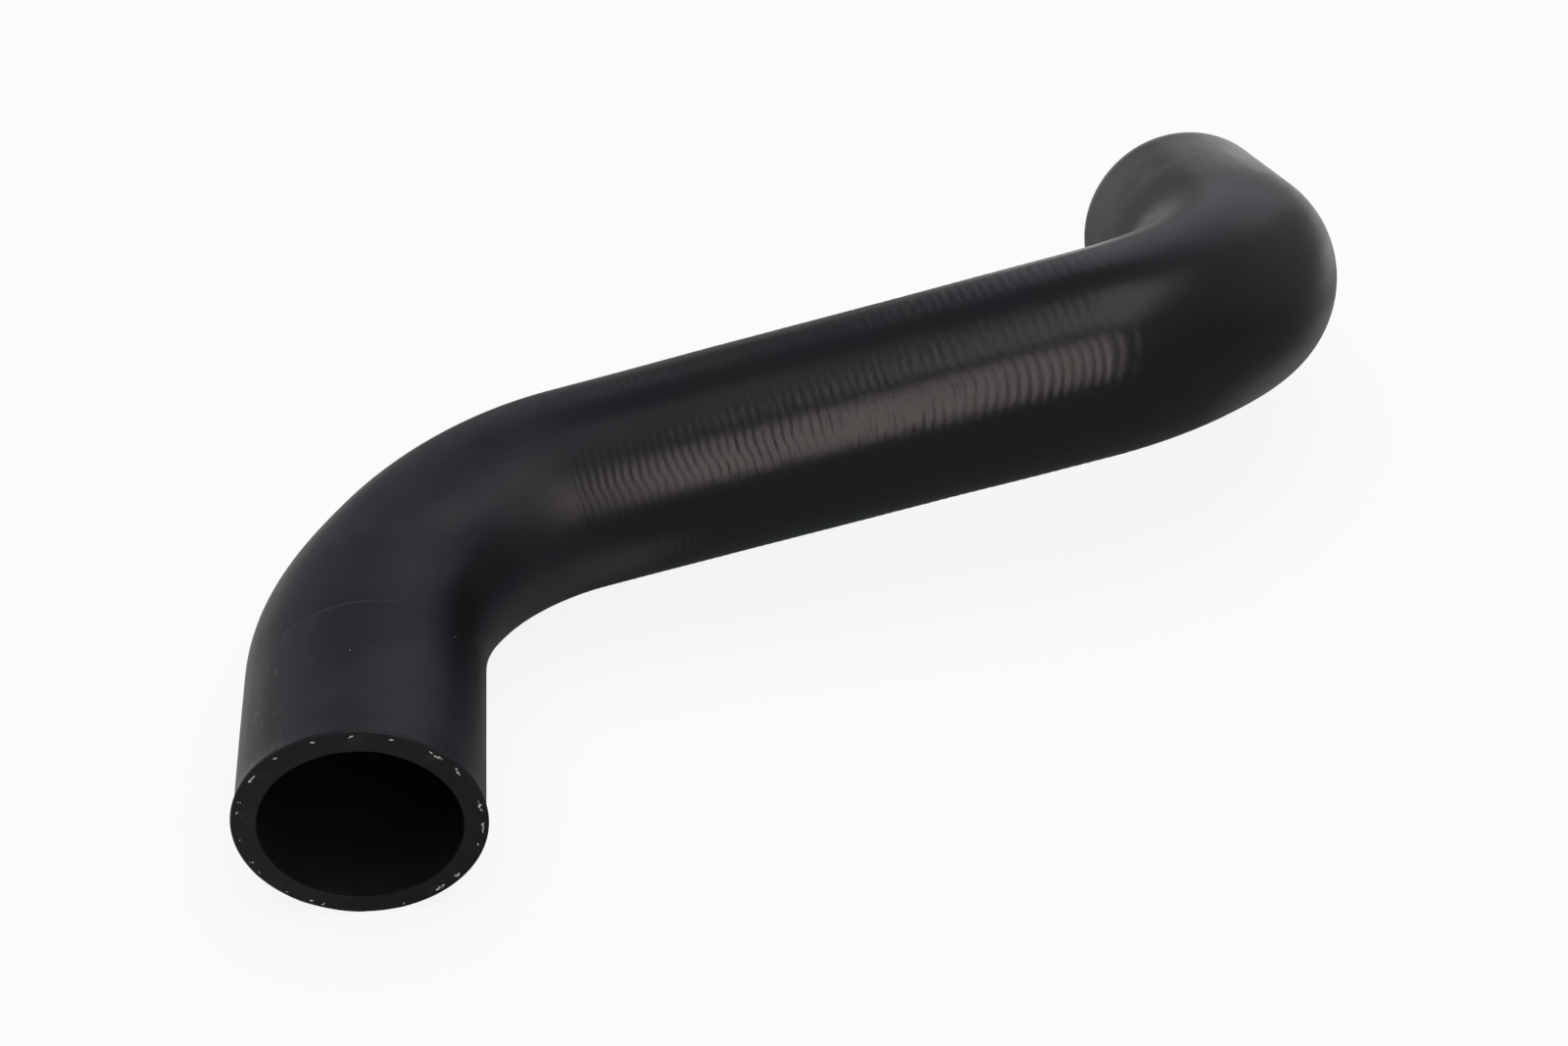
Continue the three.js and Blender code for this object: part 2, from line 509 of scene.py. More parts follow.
class HoseSkin:
    """The hose's outside, cut ends and bore as one closed mesh."""

    def __init__(self, sizes: HoseSizes, detail: SkinDetail, ripples: Ripples) -> None:
        """Works out the route, the section and the rest pose.

        Args:
            sizes: The hose's driving sizes.
            detail: How finely it is meshed.
            ripples: The wrap's marks.
        """
        self.sizes = sizes
        self.detail = detail
        self.ripples = ripples
        self.route = Route(sizes)
        self.section = Section(sizes, self.route)
        self.turn = RestPose(self.route, self.section).turn
        self.turns = np.arange(detail.sides) / detail.sides
        self.shift = self._shift_onto_frame()

    def _shift_onto_frame(self) -> Vector:
        """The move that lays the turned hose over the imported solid's box.

        Returns:
            The move, in millimetres.
        """
        travelled = np.linspace(0.0, self.route.length, self.detail.frame_samples)
        radii = self.section.outer_radius(travelled)
        points = np.concatenate([
            self._ring(station_at, np.full(self.detail.sides, radius), 0.0)
            for station_at, radius in zip(travelled, radii)
        ])
        low, high = (np.array(corner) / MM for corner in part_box("hose"))
        middle = (low + high) / 2 - (points.min(axis=0) + points.max(axis=0)) / 2
        return Vector((middle[0], middle[1], low[2] - points[:, 2].min()))

    def _ring(self, travelled: float, radius: np.ndarray, drop: float) -> np.ndarray:
        """The points of a ring, turned to the rest pose but not yet moved.

        Args:
            travelled: Distance of the ring from the near lip.
            radius: Its radius at each corner.
            drop: How far its centre is lowered.

        Returns:
            One row of x, y, z for each corner, in millimetres.
        """
        station = self.route.station(travelled)
        side = np.array(self.turn @ station.side())
        top = np.array(self.turn @ station.top)
        centre = np.array(self.turn @ station.place) - top * drop
        angle = TURN * (self.turns - QUARTER)[:, None]
        return centre + radius[:, None] * (np.cos(angle) * side + np.sin(angle) * top)

    def place(self, travelled: float, degrees: float, radius: float) -> Vector:
        """A point by its distance along the hose, its angle in the section and its radius.

        Args:
            travelled: Distance from the near lip.
            degrees: Angle in the section, from its side axis towards its top.
            radius: Distance from the centreline.

        Returns:
            The point in the frame, in millimetres.
        """
        station = self.route.station(travelled)
        outward = self._outward(station, degrees)
        return self.turn @ (station.place + outward * radius) + self.shift

    @staticmethod
    def _outward(station: Station, degrees: float) -> Vector:
        """The way out of a section, at an angle from its side axis towards its top."""
        angle = math.radians(degrees)
        return station.side() * math.cos(angle) + station.top * math.sin(angle)

    def direction(self, travelled: float, degrees: float) -> tuple[Vector, Vector, Vector]:
        """The outward, sideways and heading directions at a place on the hose.

        Args:
            travelled: Distance from the near lip.
            degrees: Angle in the section, from its side axis towards its top.

        Returns:
            The outward direction, the direction around the hose, and the heading.
        """
        station = self.route.station(travelled)
        outward = self._outward(station, degrees)
        around = station.heading.cross(outward)
        return self.turn @ outward, self.turn @ around, self.turn @ station.heading

    def _steps(self) -> np.ndarray:
        """Places the outside's rings, closest together where the ripples are.

        Returns:
            Their distances from the near lip.
        """
        detail, route = self.detail, self.route
        marks = (
            (detail.edge_round, self.sizes.lip_length, detail.lip_row),
            (self.sizes.lip_length, self.sizes.near_cuff_length, detail.cuff_row),
            (self.sizes.near_cuff_length, self.ripples.starts, detail.bend_row),
            (self.ripples.starts, self.ripples.ends, detail.ripple_row),
            (self.ripples.ends, route.far_cuff_start, detail.bend_row),
            (route.far_cuff_start, route.length - detail.edge_round, detail.cuff_row),
        )
        stretches = [
            np.linspace(begin, end, max(2, round((end - begin) / row)), endpoint=False)
            for begin, end, row in marks
        ]
        return np.append(np.concatenate(stretches), route.length - detail.edge_round)

    def _outside_rows(self) -> list[SkinRow]:
        """Makes the rings of the outside, with its ripples and its slight unevenness.

        Returns:
            The rings, from the near end to the far one.
        """
        detail = self.detail
        travelled = self._steps()[:, None]
        turns = self.turns[None, :]
        cells = (detail.sag_along, detail.sag_around)
        sag = SoftField(detail.sag_seed, self.route.length, *cells)
        radius = self.section.outer_radius(travelled)
        radius = radius + detail.sag * (sag.at(travelled, turns) - 1)
        radius = radius + self.ripples.relief(travelled, turns, self.route.length)
        return [
            SkinRow(float(at), ring, 0.0, Part.OUTSIDE)
            for at, ring in zip(travelled[:, 0], radius)
        ]

    def _end_rows(self, outside: SkinRow, at_far_end: bool) -> list[SkinRow]:
        """The rings of a cut end, from the outside to the bore.

        Args:
            outside: The last ring of the outside at that end.
            at_far_end: Whether it is the far end.

        Returns:
            The rings, in order from the outer edge to the bore's edge.
        """
        detail = self.detail
        end = self.route.length if at_far_end else 0.0
        bore = float(self.section.bore_radius(np.array(end)))
        drop = float(self.section.bore_drop(np.array(end)))
        seed = detail.ragged_seeds[at_far_end]
        ragged = SoftField(seed, 1.0, 1.0, detail.ragged_bumps)
        inner_edge = bore + detail.ragged_bore * ragged.at(np.zeros(1), self.turns)
        inner_edge = np.maximum(inner_edge, bore)
        chips = SoftField(detail.edge_seeds[at_far_end], 1.0, 1.0, detail.edge_bumps)
        chipped = detail.edge_wander * chips.at(np.zeros(1), self.turns)
        outer_edge = outside.radius - detail.edge_round * (1 + chipped)
        inner_shares = np.linspace(detail.face_from, detail.face_to, detail.face_rows)
        shares = [0.0, detail.face_edge, *inner_shares, 1 - detail.face_edge, 1.0]
        return [
            SkinRow(end, outer_edge + (inner_edge - outer_edge) * share, drop * share, Part.CUT_END)
            for share in shares
        ]

    def _bore_rows(self) -> list[SkinRow]:
        """Makes the rings of the bore.

        Returns:
            The rings, from the far end to the near one.
        """
        detail, length = self.detail, self.route.length
        edge = np.array([detail.edge_round, *detail.bore_edge_rows])
        inner = np.arange(detail.bore_row, length - detail.bore_row / 2, detail.bore_row)
        travelled = np.concatenate([edge, inner, length - edge[::-1]])
        radius = self.section.bore_radius(travelled)
        drop = self.section.bore_drop(travelled)
        rows = [
            SkinRow(float(at), np.full(detail.sides, float(size)), float(low), Part.BORE)
            for at, size, low in zip(travelled, radius, drop)
        ]
        return rows[::-1]

    def build(self, name: str) -> bpy.types.Object:
        """Makes the skin's mesh, with its slots, its wrap map and its two measures.

        Args:
            name: Name of the object.

        Returns:
            The object, linked to the scene.
        """
        outside = self._outside_rows()
        far_end = self._end_rows(outside[-1], True)
        near_end = self._end_rows(outside[0], False)[::-1]
        rows = outside + far_end + self._bore_rows() + near_end
        sides = self.detail.sides
        rings = np.concatenate([self._ring(row.travelled, row.radius, row.drop) for row in rows])
        points = (rings + np.array(self.shift)) * MM
        here = np.arange(len(rows) * sides).reshape(len(rows), sides)
        ahead = np.roll(here, -1, axis=0)
        beside = [np.roll(ring, -1, axis=1) for ring in (ahead, here)]
        faces = np.stack([here, ahead, *beside], axis=2).reshape(-1, 4)
        mesh = bpy.data.meshes.new(name)
        mesh.from_pydata(points.tolist(), [], faces.tolist())
        self._write_slots(mesh, rows)
        self._write_measures(mesh, rows)
        self._write_wrap(mesh, rows)
        mesh.shade_smooth()
        mesh.update()
        piece = bpy.data.objects.new(name, mesh)
        bpy.context.collection.objects.link(piece)
        return piece

    def _write_slots(self, mesh: bpy.types.Mesh, rows: list[SkinRow]) -> None:
        """Gives each face the material slot of the ring that it starts or ends on.

        Args:
            mesh: The skin's mesh.
            rows: Its rings.
        """
        sides = self.detail.sides
        slots = [
            (Part.OUTSIDE if Part.OUTSIDE in (row.part, after.part) else row.part).value
            for row, after in zip(rows, rows[1:] + rows[:1])
        ]
        mesh.polygons.foreach_set("material_index", np.repeat(slots, sides))

    def _write_measures(self, mesh: bpy.types.Mesh, rows: list[SkinRow]) -> None:
        """Stores the distance along the hose and from its centreline, in millimetres.

        Args:
            mesh: The skin's mesh.
            rows: Its rings.
        """
        sides = self.detail.sides
        measures = {
            "travelled": np.repeat([row.travelled for row in rows], sides),
            "radius": np.concatenate([row.radius for row in rows]),
        }
        for name, values in measures.items():
            layer = mesh.attributes.new(name, "FLOAT", "POINT")
            layer.data.foreach_set("value", values.astype(np.float32))

    def _write_wrap(self, mesh: bpy.types.Mesh, rows: list[SkinRow]) -> None:
        """Writes the wrap map: the share of the length, and the share of a turn.

        Args:
            mesh: The skin's mesh.
            rows: Its rings.
        """
        sides = self.detail.sides
        along = np.array([row.travelled for row in rows]) / self.route.length
        turn = np.arange(sides + 1) / sides
        here = np.repeat(along, sides)
        ahead = np.repeat(np.roll(along, -1), sides)
        start = np.tile(turn[:-1], len(rows))
        end = np.tile(turn[1:], len(rows))
        loops = np.stack([here, start, ahead, start, ahead, end, here, end], axis=1)
        layer = mesh.uv_layers.new(name="wrap")
        layer.data.foreach_set("uv", loops.astype(np.float32).ravel())


# Shader maths. Some sockets share their names with other kinds', so they go by number.

MIX_LOW = 6
MIX_HIGH = 7
MIX_RESULT = 2
RANDOM_LOW = 2
RANDOM_HIGH = 3
RANDOM_RESULT = 1


class Number:
    """A shader socket that holds a number, with Python's operators on it."""

    def __init__(self, kit: "ShaderKit", socket: Any) -> None:
        """Wraps a socket.

        Args:
            socket: The output socket.
        """
        self.kit = kit
        self.socket = socket

    def _math(self, operation: str, *values: "Number | float") -> "Number":
        """Adds a Math node."""
        return self.kit.number("ShaderNodeMath", {"operation": operation}, dict(enumerate(values)))

    def __add__(self, other: "Number | float") -> "Number":
        """Adds."""
        return self._math("ADD", self, other)

    __radd__ = __add__

    def __sub__(self, other: "Number | float") -> "Number":
        """Subtracts."""
        return self._math("SUBTRACT", self, other)

    def __rsub__(self, other: float) -> "Number":
        """Subtracts from a plain number."""
        return self._math("SUBTRACT", other, self)

    def __mul__(self, other: "Number | float") -> "Number":
        """Multiplies."""
        return self._math("MULTIPLY", self, other)

    __rmul__ = __mul__

    def __abs__(self) -> "Number":
        """Takes the sign away."""
        return self._math("ABSOLUTE", self)

    def cosine(self) -> "Number":
        """The cosine of an angle in radians."""
        return self._math("COSINE", self)

    def largest(self, other: "Number | float") -> "Number":
        """The larger of two numbers."""
        return self._math("MAXIMUM", self, other)

    def step(self, low: float, high: float) -> "Number":
        """Turns the number into a smooth mask.

        Args:
            low: Where the mask is 0.
            high: Where it is 1, which may be the smaller of the two.

        Returns:
            The mask.
        """
        settings = {"interpolation_type": "SMOOTHSTEP", "clamp": True}
        if low < high:
            return self.kit.number("ShaderNodeMapRange", settings, {0: self, 1: low, 2: high})
        return 1 - self.kit.number("ShaderNodeMapRange", settings, {0: self, 1: high, 2: low})


@dataclass(frozen=True)
class Texture:
    """A noise, and the limits between which it is used as a mask.

    The scale is in bumps to a metre, or in bumps to a unit of the scaled wrap map where `wrap`
    gives that map's scale along the hose and around it.
    """

    scale: float = 1.0
    detail: float = 2.0
    roughness: float = 0.5
    wrap: Span | None = None
    low: float = 0.0
    high: float = 1.0


@dataclass(frozen=True)
class Band:
    """A strip that runs along the hose, in shares of a turn from its underside."""

    middle: float
    reach: float
    core: float

    def on(self, turns: Number) -> Number:
        """The strip's mask: 1 within its core and 0 past its reach."""
        return abs(turns - self.middle).step(self.reach, self.core)


class ShaderKit:
    """Builds one material's nodes."""

    def __init__(self, tree: bpy.types.NodeTree) -> None:
        """Empties the tree and keeps it.

        Args:
            tree: The node tree of a material or a world.
        """
        self.tree = tree
        tree.nodes.clear()

    def node(self, kind: str, settings: dict[str, Any], inputs: dict[Any, Any]) -> Any:
        """Adds a node.

        Args:
            kind: The node's type.
            settings: Its settings, which are made first.
            inputs: What each socket takes, by name or number: a value, a socket or a Number.

        Returns:
            The node.
        """
        made = self.tree.nodes.new(kind)
        for key, value in settings.items():
            setattr(made, key, value)
        for key, value in inputs.items():
            source = value.socket if isinstance(value, Number) else value
            if isinstance(source, bpy.types.NodeSocket):
                self.tree.links.new(source, made.inputs[key])
            else:
                made.inputs[key].default_value = source
        return made

    def number(self, kind: str, settings: dict[str, Any], inputs: dict[Any, Any]) -> Number:
        """Adds a node and wraps its first output."""
        return Number(self, self.node(kind, settings, inputs).outputs[0])

    def place(self) -> Any:
        """The piece's own coordinates, in metres."""
        return self.node("ShaderNodeTexCoord", {}, {}).outputs["Object"]

    def measure(self, name: str) -> Number:
        """One of the skin's stored measures, in millimetres."""
        made = self.node("ShaderNodeAttribute", {"attribute_name": name}, {})
        return Number(self, made.outputs["Fac"])

    def turns(self) -> Number:
        """Reads the place around the hose.

        Returns:
            A share of a turn from its underside.
        """
        wrap = self.node("ShaderNodeUVMap", {"uv_map": "wrap"}, {})
        parts = self.node("ShaderNodeSeparateXYZ", {}, {0: wrap.outputs[0]})
        return Number(self, parts.outputs["Y"])

    def noise(self, texture: Texture) -> Number:
        """Soft noise.

        Args:
            texture: What the noise is like.

        Returns:
            The noise, from about 0.2 to 0.8.
        """
        inputs = {
            "Vector": self.wrap_place(*texture.wrap) if texture.wrap else self.place(),
            "Scale": texture.scale,
            "Detail": texture.detail,
            "Roughness": texture.roughness,
        }
        return self.number("ShaderNodeTexNoise", {}, inputs)

    def mask(self, texture: Texture) -> Number:
        """A texture's noise as a mask between its limits."""
        return self.noise(texture).step(texture.low, texture.high)

    def distance_to(self, spot: Place) -> Number:
        """Measures from the shaded place to a point.

        Args:
            spot: The point, in the piece's own coordinates.

        Returns:
            The distance, in metres.
        """
        inputs = {0: self.place(), 1: spot}
        made = self.node("ShaderNodeVectorMath", {"operation": "DISTANCE"}, inputs)
        return Number(self, made.outputs["Value"])

    def rays(self) -> tuple[Number, Number]:
        """Tells kinds of ray apart.

        Returns:
            1 for a ray that the camera sees by, and 1 for a ray that a reflection sends out.
        """
        path = self.node("ShaderNodeLightPath", {}, {}).outputs
        through = Number(self, path["Is Transmission Ray"])
        seen = Number(self, path["Is Camera Ray"]).largest(through)
        return seen, Number(self, path["Is Glossy Ray"])

    def wrap_place(self, along: float, around: float) -> Any:
        """The wrap map, scaled so that noise can follow the hose.

        Args:
            along: Scale along the hose.
            around: Scale around it.

        Returns:
            The coordinates' socket.
        """
        wrap = self.node("ShaderNodeUVMap", {"uv_map": "wrap"}, {})
        inputs = {"Vector": wrap.outputs[0], "Scale": (along, around, 1.0)}
        return self.node("ShaderNodeMapping", {}, inputs).outputs[0]

    def mix(self, share: Number, low: Any, high: Any) -> Any:
        """Mixes two colours.

        Args:
            share: How much of the second there is.
            low: The first colour, as three numbers or a socket.
            high: The second.

        Returns:
            The mixed colour's socket.
        """
        def filled(colour: Any) -> Any:
            """A colour as a socket takes it."""
            return (*colour, 1.0) if isinstance(colour, tuple) else colour

        inputs = {0: share, MIX_LOW: filled(low), MIX_HIGH: filled(high)}
        return self.node("ShaderNodeMix", {"data_type": "RGBA"}, inputs).outputs[MIX_RESULT]

    def bump(self, height: Number, strength: float, distance: float, below: Any = None) -> Any:
        """Turns a height into a bumped normal.

        Args:
            height: The height, which spans about 1 from its lowest to its highest.
            strength: How much it shows.
            distance: What a height of 1 stands for, in metres.
            below: The normal that it adds to, or None.

        Returns:
            The normal's socket.
        """
        inputs = {"Height": height, "Strength": strength, "Distance": distance}
        if below is not None:
            inputs["Normal"] = below
        return self.node("ShaderNodeBump", {}, inputs).outputs[0]

    def surface(self, inputs: dict[str, Any]) -> None:
        """Ends the tree in a Principled shader with those inputs."""
        shader = self.node("ShaderNodeBsdfPrincipled", {}, inputs)
        self.node("ShaderNodeOutputMaterial", {}, {"Surface": shader.outputs[0]})


def new_material(name: str) -> tuple[bpy.types.Material, ShaderKit]:
    """Makes an empty material.

    Args:
        name: Its name.

    Returns:
        The material and its kit.
    """
    material = bpy.data.materials.new(name)
    material.use_nodes = True
    return material, ShaderKit(material.node_tree)


# Finishes. A bump is a strength and a depth in metres.

NOISE_MEAN = 0.5
RUBBER_IOR = 1.5


@dataclass(frozen=True)
class Speck:
    """A speck of dust, by its distance from the near lip, its angle and its size."""

    travelled: float
    degrees: float
    size: float


@dataclass(frozen=True)
class OutsideNumbers:
    """The numbers that the outside's colour, roughness and bumps share."""

    travelled: Number
    turns: Number
    cloud: Number
    smear: Number
    grain: Number
    near_dust: Number
    # Share of the far dust, less where the painted shade in the far crease takes it away.
    far_dust_and_crease_shade: Number
    past_ring: Number


@dataclass(frozen=True)
class MouldedRubber:
    """The outside: satin black rubber, dustier and bluer towards the near cuff, with painted shade
    along the near bend's inner side, beside the near cuff's slanting edge and in the far crease,
    and painted light on the far bend's top.

    A span says where its mask is 0 and then where it is 1, in millimetres from the near lip,
    or past the slanting edge for the rubbed flank before it and the painted shade just past it.
    """

    black: Colour = (0.0058, 0.0074, 0.0090)
    brown_black: Colour = (0.0074, 0.0080, 0.0092)
    # The colour of painted shade, used on the near bend's inner side and beside the near cuff's
    # slanting edge.
    shaded: Colour = (0.0022, 0.0030, 0.0044)
    dusty: Colour = (0.0066, 0.0082, 0.0140)
    lilac: Colour = (0.0165, 0.0155, 0.0200)
    # The far cuff's pale dust, a colour that also paints the light on the far bend's top.
    far_dust_and_top_light: Colour = (0.0500, 0.0420, 0.0480)
    mark: Colour = (0.034, 0.037, 0.052)
    scuff: Colour = (0.100, 0.104, 0.110)
    speck: Colour = (0.42, 0.42, 0.40)
    cloud: Texture = Texture(28.0, 3.0, low=0.42, high=0.68)
    smear: Texture = Texture(detail=4.0, roughness=0.6, wrap=(9.0, 34.0), low=0.35, high=0.6)
    near_dust_ends: Span = (164.0, 108.0)
    near_dust_least: float = 0.5
    near_dust_smear: float = 0.7
    lilac_patch: Texture = Texture(42.0, 3.0, low=0.38, high=0.68)
    # Painted shade: a dark strip along the inner side of the near cuff and bend, where the hose
    # shades itself.
    inner: Band = Band(0.312, 0.055, 0.02)
    inner_shade_starts: Span = (18.0, 52.0)
    inner_shade_ends: Span = (128.0, 84.0)
    far_dust_starts: Span = (358.0, 376.0)
    far_dust_least: float = 0.15
    far_dust_smear: float = 0.3
    far_dust_blotch: float = 0.5
    far_blotch: Texture = Texture(48.0, 3.0, 0.6, low=0.40, high=0.60)
    # Painted shade in the crease between the far bend and the far cuff, which takes the pale far
    # dust away.
    crease: Band = Band(0.66, 0.11, 0.05)
    crease_waver: float = 0.35
    crease_ends: Span = (374.0, 362.0)
    crease_shade_depth: float = 0.9
    # Painted light: a paler band along the top of the far bend, where light from above falls.
    top: Band = Band(0.5, 0.17, 0.06)
    top_light_starts: Span = (306.0, 344.0)
    top_light_least: float = 0.28
    top_light_blotch: float = 0.22
    ring_at: float = 40.0
    ring_slant: float = 7.5
    ring_turn: float = 40.0
    ring_width: float = 0.6
    ring_band: Band = Band(0.52, 0.16, 0.03)
    ring_least: float = 0.1
    ring_most: float = 0.4
    ring_break: Texture = Texture(detail=3.0, wrap=(60.0, 26.0), low=0.34, high=0.60)
    flank: Band = Band(0.60, 0.11, 0.03)
    rubbed_starts: Span = (-11.0, -2.0)
    rubbed_ends: Span = (0.3, -0.5)
    rubbed_share: float = 0.24
    # Painted shade: a dark strip on the flank just past the slanting edge.
    edge_shade_starts: Span = (0.0, 0.6)
    edge_shade_ends: Span = (5.0, 1.0)
    edge_shade_share: float = 0.35
    scratch_band: Band = Band(0.63, 0.09, 0.02)
    scratch_ends: Span = (54.0, 40.0)
    scratch_share: float = 0.85
    streak: Texture = Texture(detail=5.0, roughness=0.7, wrap=(90.0, 210.0), low=0.55, high=0.66)
    streak_patch: Texture = Texture(wrap=(30.0, 14.0), low=0.42, high=0.58)
    specks: tuple[Speck, ...] = (
        Speck(28.5, 83.0, 0.24),
        Speck(44.0, 30.0, 0.26),
        Speck(66.0, 58.0, 0.13),
    )
    speck_core: float = 0.6
    run_roughness: float = 0.26
    cuff_roughness: float = 0.48
    bend_roughness: float = 0.34
    bend_starts: Span = (286.0, 302.0)
    far_dullness: float = 0.3
    smear_roughness: float = 0.14
    grain_roughness: float = 0.05
    peel: Texture = Texture(260.0)
    peel_bump: Span = (0.35, 0.000032)
    cloth: Texture = Texture(wrap=(560.0, 130.0))
    cloth_starts: Span = (124.0, 142.0)
    cloth_ends: Span = (292.0, 287.0)
    cloth_bump: Span = (0.6, 0.00003)
    grain: Texture = Texture(1500.0)
    grain_bump: Span = (0.35, 0.000016)
    ring_bump: Span = (0.5, 0.000128)

    def make(self, skin: HoseSkin) -> bpy.types.Material:
        """Builds the material.

        Args:
            skin: The skin, which places the specks.

        Returns:
            The material.
        """
        material, kit = new_material("moulded_rubber")
        given = self._numbers(kit)
        ring = self._ring(kit, given)
        colour = self._cuff_wear_and_shade(kit, given, self._dust_light_and_shade(kit, given))
        colour = kit.mix(ring, colour, self.mark)
        colour = kit.mix(self._scratches(kit, given), colour, self.scuff)
        colour = kit.mix(self._specks(kit, skin), colour, self.speck)
        kit.surface({
            "Base Color": colour,
            "Roughness": self._roughness(given),
            "Normal": self._normal(kit, given, ring),
            "IOR": RUBBER_IOR,
        })
        return material

    def _numbers(self, kit: ShaderKit) -> OutsideNumbers:
        """Works out the numbers that the finish shares.

        Args:
            kit: The material's kit.

        Returns:
            The numbers.
        """
        travelled = kit.measure("travelled")
        turns = kit.turns()
        cloud = kit.noise(self.cloud)
        # Painted shade in the far crease.
        crease = self.crease.on(turns + self.crease_waver * (cloud - NOISE_MEAN))
        crease = crease * travelled.step(*self.crease_ends)
        angle = turns * TURN - (TURN * QUARTER + math.radians(self.ring_turn))
        return OutsideNumbers(
            travelled=travelled,
            turns=turns,
            cloud=cloud,
            smear=kit.noise(self.smear),
            grain=kit.noise(self.grain),
            near_dust=travelled.step(*self.near_dust_ends),
            far_dust_and_crease_shade=travelled.step(*self.far_dust_starts) * (1 - self.crease_shade_depth * crease),
            past_ring=travelled - (self.ring_at + self.ring_slant * angle.cosine()),
        )

    def _dust_light_and_shade(self, kit: ShaderKit, given: OutsideNumbers) -> Any:
        """The rubber's own colour under the dust of both cuffs, with painted shade along the near
        bend's inner side and in the far crease, and painted light on the far bend's top.

        Args:
            kit: The material's kit.
            given: The finish's shared numbers.

        Returns:
            The colour's socket.
        """
        travelled, turns = given.travelled, given.turns
        brown = given.cloud.step(self.cloud.low, self.cloud.high)
        colour = kit.mix(brown, self.black, self.brown_black)
        near_dust = kit.mix(kit.mask(self.lilac_patch), self.dusty, self.lilac)
        share = given.near_dust * (self.near_dust_least + self.near_dust_smear * given.smear)
        colour = kit.mix(share, colour, near_dust)
        # Painted shade along the inner side of the near cuff and bend.
        inner = self.inner.on(turns) * travelled.step(*self.inner_shade_starts)
        colour = kit.mix(inner * travelled.step(*self.inner_shade_ends), colour, self.shaded)
        blotch = kit.mask(self.far_blotch)
        smeared = self.far_dust_least + self.far_dust_smear * given.smear
        far_share = given.far_dust_and_crease_shade * (smeared + self.far_dust_blotch * blotch)
        # Painted light on the far bend's top, in the far dust's colour.
        top = self.top.on(turns) * travelled.step(*self.top_light_starts)
        top_light_share = top * (self.top_light_least + self.top_light_blotch * blotch)
        return kit.mix(far_share.largest(top_light_share), colour, self.far_dust_and_top_light)

    def _cuff_wear_and_shade(self, kit: ShaderKit, given: OutsideNumbers, colour: Any) -> Any:
        """Pales the near cuff's flank before its slanting edge and paints shade on it just past it.

        Args:
            kit: The material's kit.
            given: The finish's shared numbers.
            colour: The colour's socket so far.

        Returns:
            The worn colour's socket.
        """
        past_ring = given.past_ring
        flank = self.flank.on(given.turns)
        rubbed = past_ring.step(*self.rubbed_ends) * past_ring.step(*self.rubbed_starts) * flank
        rubbed = rubbed * given.smear.step(self.smear.low, self.smear.high)
        colour = kit.mix(rubbed * self.rubbed_share, colour, self.mark)
        # Painted shade in a strip just past the slanting edge.
        edge_shade = past_ring.step(*self.edge_shade_starts) * past_ring.step(*self.edge_shade_ends) * flank
        return kit.mix(edge_shade * self.edge_shade_share, colour, self.shaded)

    def _ring(self, kit: ShaderKit, given: OutsideNumbers) -> Number:
        """The faint slanting edge that the wrap leaves round the near cuff.

        Args:
            kit: The material's kit.
            given: The finish's shared numbers.

        Returns:
            A mask, 1 on the edge.
        """
        strength = self.ring_least + self.ring_most * kit.mask(self.ring_break)
        on_edge = abs(given.past_ring).step(self.ring_width, 0.0)
        return on_edge * self.ring_band.on(given.turns) * strength

    def _scratches(self, kit: ShaderKit, given: OutsideNumbers) -> Number:
        """Fine rub marks on the outer flank of the near cuff.

        Args:
            kit: The material's kit.
            given: The finish's shared numbers.

        Returns:
            A mask, 1 in a mark.
        """
        streaks = kit.mask(self.streak) * kit.mask(self.streak_patch)
        near = self.scratch_band.on(given.turns) * given.travelled.step(*self.scratch_ends)
        return streaks * near * self.scratch_share

    def _specks(self, kit: ShaderKit, skin: HoseSkin) -> Number:
        """The specks of dust on the near cuff.

        Args:
            kit: The material's kit.
            skin: The skin, which places them.

        Returns:
            A mask, 1 in a speck.
        """
        masks = []
        for speck in self.specks:
            radius = float(skin.section.outer_radius(np.array(speck.travelled)))
            spot = skin.place(speck.travelled, speck.degrees, radius) * MM
            size = speck.size * MM
            masks.append(kit.distance_to(tuple(spot)).step(size, size * self.speck_core))
        return functools.reduce(Number.largest, masks)

    def _roughness(self, given: OutsideNumbers) -> Number:
        """How rough the outside is: least on the run and most on the near cuff.

        Args:
            given: The finish's shared numbers.

        Returns:
            The roughness.
        """
        duller = given.near_dust.largest(given.far_dust_and_crease_shade * self.far_dullness)
        bend = given.travelled.step(*self.bend_starts) * (1 - given.far_dust_and_crease_shade)
        roughness = self.run_roughness + (self.cuff_roughness - self.run_roughness) * duller
        roughness = roughness + (self.bend_roughness - self.run_roughness) * bend
        roughness = roughness + self.smear_roughness * (given.smear - NOISE_MEAN)
        return roughness + self.grain_roughness * (given.grain - NOISE_MEAN)

    def _normal(self, kit: ShaderKit, given: OutsideNumbers, ring: Number) -> Any:
        """The bumps of the outside: its skin, the wrap's cloth, a fine grain and the slanting edge.

        Args:
            kit: The material's kit.
            given: The finish's shared numbers.
            ring: The mask of the slanting edge.

        Returns:
            The normal's socket.
        """
        travelled = given.travelled
        wrapped = travelled.step(*self.cloth_starts) * travelled.step(*self.cloth_ends)
        cloth = (kit.noise(self.cloth) - NOISE_MEAN) * wrapped
        normal = kit.bump(kit.noise(self.peel), *self.peel_bump)
        normal = kit.bump(cloth, *self.cloth_bump, normal)
        normal = kit.bump(given.grain, *self.grain_bump, normal)
        return kit.bump(ring, *self.ring_bump, normal)


